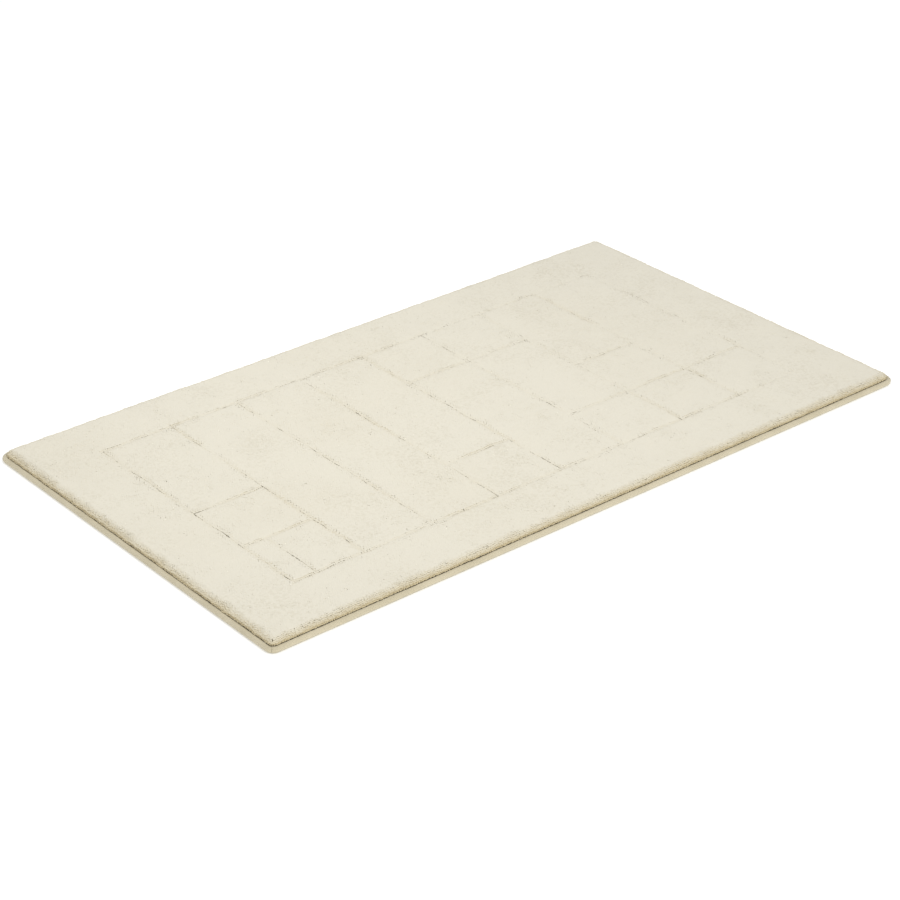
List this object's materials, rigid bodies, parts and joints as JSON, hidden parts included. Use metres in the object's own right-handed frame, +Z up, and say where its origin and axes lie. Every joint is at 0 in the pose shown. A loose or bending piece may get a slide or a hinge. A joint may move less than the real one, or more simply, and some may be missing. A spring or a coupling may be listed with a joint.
{
  "type": "bath mat",
  "caption": "Rectangular tufted bath mat with a grid of carved grooves in its cut pile, a corded edge binding and an anti-slip backing.",
  "frame": {"origin": "on the floor under the middle of the mat", "axes": "+X along the mat's length, +Y along its width, +Z up out of the pile"},
  "size_m": [1.2, 0.7, 0.0179],
  "materials": {
    "pile": "dense cut pile, ivory, matte",
    "pile_border": "dense cut pile, ivory, matte",
    "binding_tape": "woven cotton tape, cream, slight sheen",
    "filler_cord": "twisted cotton cord, undyed",
    "seam_thread": "twisted sewing thread, cream",
    "backing_cloth": "open plain-woven backing cloth",
    "bond_latex": "thin matte latex pre-coat",
    "grip_latex": "matte anti-slip latex with a fine raised texture"
  },
  "bodies": {
    "root": {"bond_coat": "bond_latex", "edge_binding_back": "binding_tape", "edge_binding_front": "binding_tape", "edge_binding_left": "binding_tape", "edge_binding_right": "binding_tape", "filler_cord_back": "filler_cord", "filler_cord_front": "filler_cord", "filler_cord_left": "filler_cord", "filler_cord_right": "filler_cord", "grip_backing": "grip_latex", "pile_block_1_1": "pile", "pile_block_1_3": "pile", "pile_block_1_4_narrow": "pile", "pile_block_1_4_wide": "pile", "pile_block_2_1": "pile", "pile_block_3_1": "pile", "pile_block_4_1": "pile", "pile_block_4_4": "pile", "pile_block_5_1": "pile", "pile_block_5_2": "pile", "pile_block_6_1": "pile", "pile_block_6_2": "pile", "pile_block_6_4": "pile", "pile_block_7_1": "pile", "pile_block_7_3": "pile", "pile_block_7_4": "pile", "pile_block_8_1": "pile", "pile_block_8_4": "pile", "pile_border_back": "pile_border", "pile_border_front": "pile_border", "pile_border_left": "pile_border", "pile_border_right": "pile_border", "primary_backing": "backing_cloth", "seam_thread_back": "seam_thread", "seam_thread_front": "seam_thread", "seam_thread_left": "seam_thread", "seam_thread_right": "seam_thread"}
  },
  "joints": []
}
